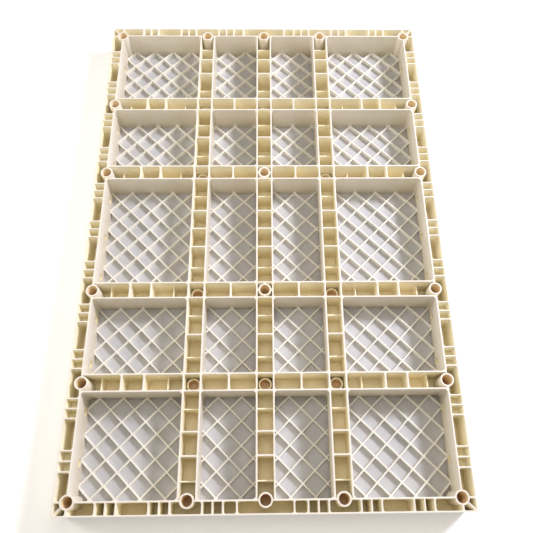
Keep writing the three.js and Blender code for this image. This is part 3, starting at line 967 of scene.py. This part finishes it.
# %% [markdown]
# ## Lengthwise ribs
# Three hollow ribs run from end to end. Between their walls stand webs at full height in the middle of
# each bay and lower ones near its ends, and two cross walls close each crossing cell.
# Full webs get wide fillets, low ones hardly any.
# How many webs there are depends on the length of the bay. Their places are counted in web pitches
# from its middle.

# %% Places of the webs
FULL_WEB = 2.5
LOW_WEB = 2.0
WEB_PITCH = 34.2
LOW_FILLET = 0.5
# Bays longer than so many millimetres, the places of their full webs, and those of their low webs
WEBS_BY_LENGTH = (
    (180, (-1, 0, 1), (-2, 2)),
    (135, (-0.5, 0.5), (-1.5, 1.5)),
    (100, (0,), (-1, 1)),
    (0, (0,), ()),
)


def webs_for(start, stop):
    """Places of the full and the low webs between two members."""
    full, low = next(places for over, *places in WEBS_BY_LENGTH if stop - start > over)
    middle = (start + stop) / 2
    return [middle + k * WEB_PITCH for k in full], [middle + k * WEB_PITCH for k in low]


print("webs in a bay of 200 mm:", webs_for(-100, 100))

# %% Lengthwise ribs
SPINE_FILLET = 1.8
SPINE_LOW_TOP = RIM - 11.0
BAY_STARTS = [-END_INNER] + [y + RIB_OUT for y in CROSSES]
BAY_STOPS = [y - RIB_OUT for y in CROSSES] + [END_INNER]


def spine(name, centre):
    """One lengthwise rib with its webs, the walls of its crossing cells and a gusset in each end corner."""
    full, low = [], []
    for start, stop in zip(BAY_STARTS, BAY_STOPS):
        more_full, more_low = webs_for(start, stop)
        full += more_full
        low += more_low
    cell_walls = both_sides(CROSSES, RIB_HALF + WALL / 2)
    x_lines = [centre + v for v in (-RIB_OUT, -RIB_HALF, RIB_HALF, RIB_OUT)]
    y_lines = [-END_INNER, END_INNER] + both_sides(cell_walls, WALL / 2)
    y_lines += both_sides(full, FULL_WEB / 2) + both_sides(low, LOW_WEB / 2)

    def height(x, y):
        if abs(x - centre) > RIB_HALF or near(y, full, FULL_WEB / 2) or near(y, cell_walls, WALL / 2):
            return RIM
        return SPINE_LOW_TOP if near(y, low, LOW_WEB / 2) else LATTICE_TOP

    bm = plan(x_lines, with_middles(y_lines), SLAB_UNDER)
    build_up(bm, height, lambda x, y: abs(x - centre) > RIB_HALF)
    fillet_corners(bm, lambda x, y: LOW_FILLET if near(y, low, LOW_WEB) else SPINE_FILLET)
    round_rims(bm, butts((1, -END_INNER), (1, END_INNER)))
    for sx in (-1, 1):
        for sy in (-1, 1):
            gusset(bm, centre + sx * RIB_OUT, sy * END_INNER, sx, -sy, OUTER_GUSSET, SHEET_TOP)
    return finished(bm, f"spine_{name}", lit_and_shaded_abs, channel=lambda x, y: abs(x - centre) < RIB_HALF + LINING)


spines = [spine(name, centre) for name, centre in SPINES.items()]
print("lengthwise ribs:", [(s.name, len(s.data.polygons)) for s in spines])

# %% [markdown]
# ## Cross ribs
# Sixteen short lengths of hollow rib fill in between the lengthwise members. They have the same two
# walls, and webs that flare into the walls. The low webs stop well below the rims.
# Corners against a lengthwise rib get a gusset inside the channel as well as outside it.

# %% Cross ribs
CROSS_LOW_TOP = RIM - 18.5


def cross_rib(line, column):
    """One length of cross rib between two lengthwise members."""
    cad_node = f"cross_rib_{line}_c{column}"
    x0, x1 = (corner.x for corner in box_mm(cad_node))
    centre = CROSSES[line - 1]
    full, low = webs_for(x0, x1)
    x_lines = [x0, x1] + both_sides(full, FULL_WEB / 2) + both_sides(low, LOW_WEB / 2)
    y_lines = [centre + v for v in (-RIB_OUT, -RIB_HALF, RIB_HALF, RIB_OUT)]

    def height(x, y):
        if abs(y - centre) > RIB_HALF or near(x, full, FULL_WEB / 2):
            return RIM
        return CROSS_LOW_TOP if near(x, low, LOW_WEB / 2) else LATTICE_TOP

    bm = plan(with_middles(x_lines), y_lines, SLAB_UNDER)
    build_up(bm, height, lambda x, y: abs(y - centre) > RIB_HALF)
    fillet_corners(bm, lambda x, y: LOW_FILLET if near(x, low, LOW_WEB) else WIDE_FILLET)
    round_rims(bm, butts((0, x0), (0, x1)))
    for x, toward in ((x0, 1), (x1, -1)):
        for s in (-1, 1):
            gusset(bm, x, centre + s * RIB_OUT, toward, s, OUTER_GUSSET, SHEET_TOP)
            if abs(x) < SIDE_INNER - 1:
                gusset(bm, x, centre + s * RIB_HALF, toward, -s, INNER_GUSSET, LATTICE_TOP)
    return finished(bm, cad_node, lit_and_shaded_abs, channel=lambda x, y: abs(y - centre) < RIB_HALF + LINING)


cross_ribs = [cross_rib(line, column) for line in range(1, 5) for column in range(1, 5)]
print("cross ribs:", len(cross_ribs), "faces in the first:", len(cross_ribs[0].data.polygons))

# %% [markdown]
# ## Pillars in the crossings
# Twelve pillars stand in the crossing cells. Two on the centre lines reach the rims and are held by
# four short ribs. The other ten stop 23 mm lower.

# %% Crossing pillars
PILLAR_RIB = 3.0
PILLAR_ROUND = 0.6


def crossing_pillar(line, name):
    """One pillar, with four ribs to the walls of its cell where it reaches the rims."""
    x, y = SPINES[name], CROSSES[line - 1]
    cad_node = f"pillar_{line}_{name}"
    top = box_mm(cad_node)[1].z
    bm = bmesh.new()
    pillar(bm, x, y, top)
    round_rims(bm, size=PILLAR_ROUND)
    if top > LOW_PILLAR_TOP + 1:
        rib_top = top - PILLAR_ROUND
        middle, size = (RING_GRIP + RIB_HALF) / 2, (RIB_HALF - RING_GRIP, PILLAR_RIB, rib_top - LATTICE_TOP)
        for quarter in range(4):
            angle = quarter * math.pi / 2
            along = (x + middle * math.cos(angle), y + middle * math.sin(angle))
            bar(bm, (*along, (LATTICE_TOP + rib_top) / 2), size, angle)
    return finished(bm, cad_node, lit_and_shaded_abs, channel=lambda u, v: True, bores=[(x, y)])


crossing_pillars = [crossing_pillar(line, name) for line in range(1, 5) for name in SPINES]
print("crossing pillars:", len(crossing_pillars))
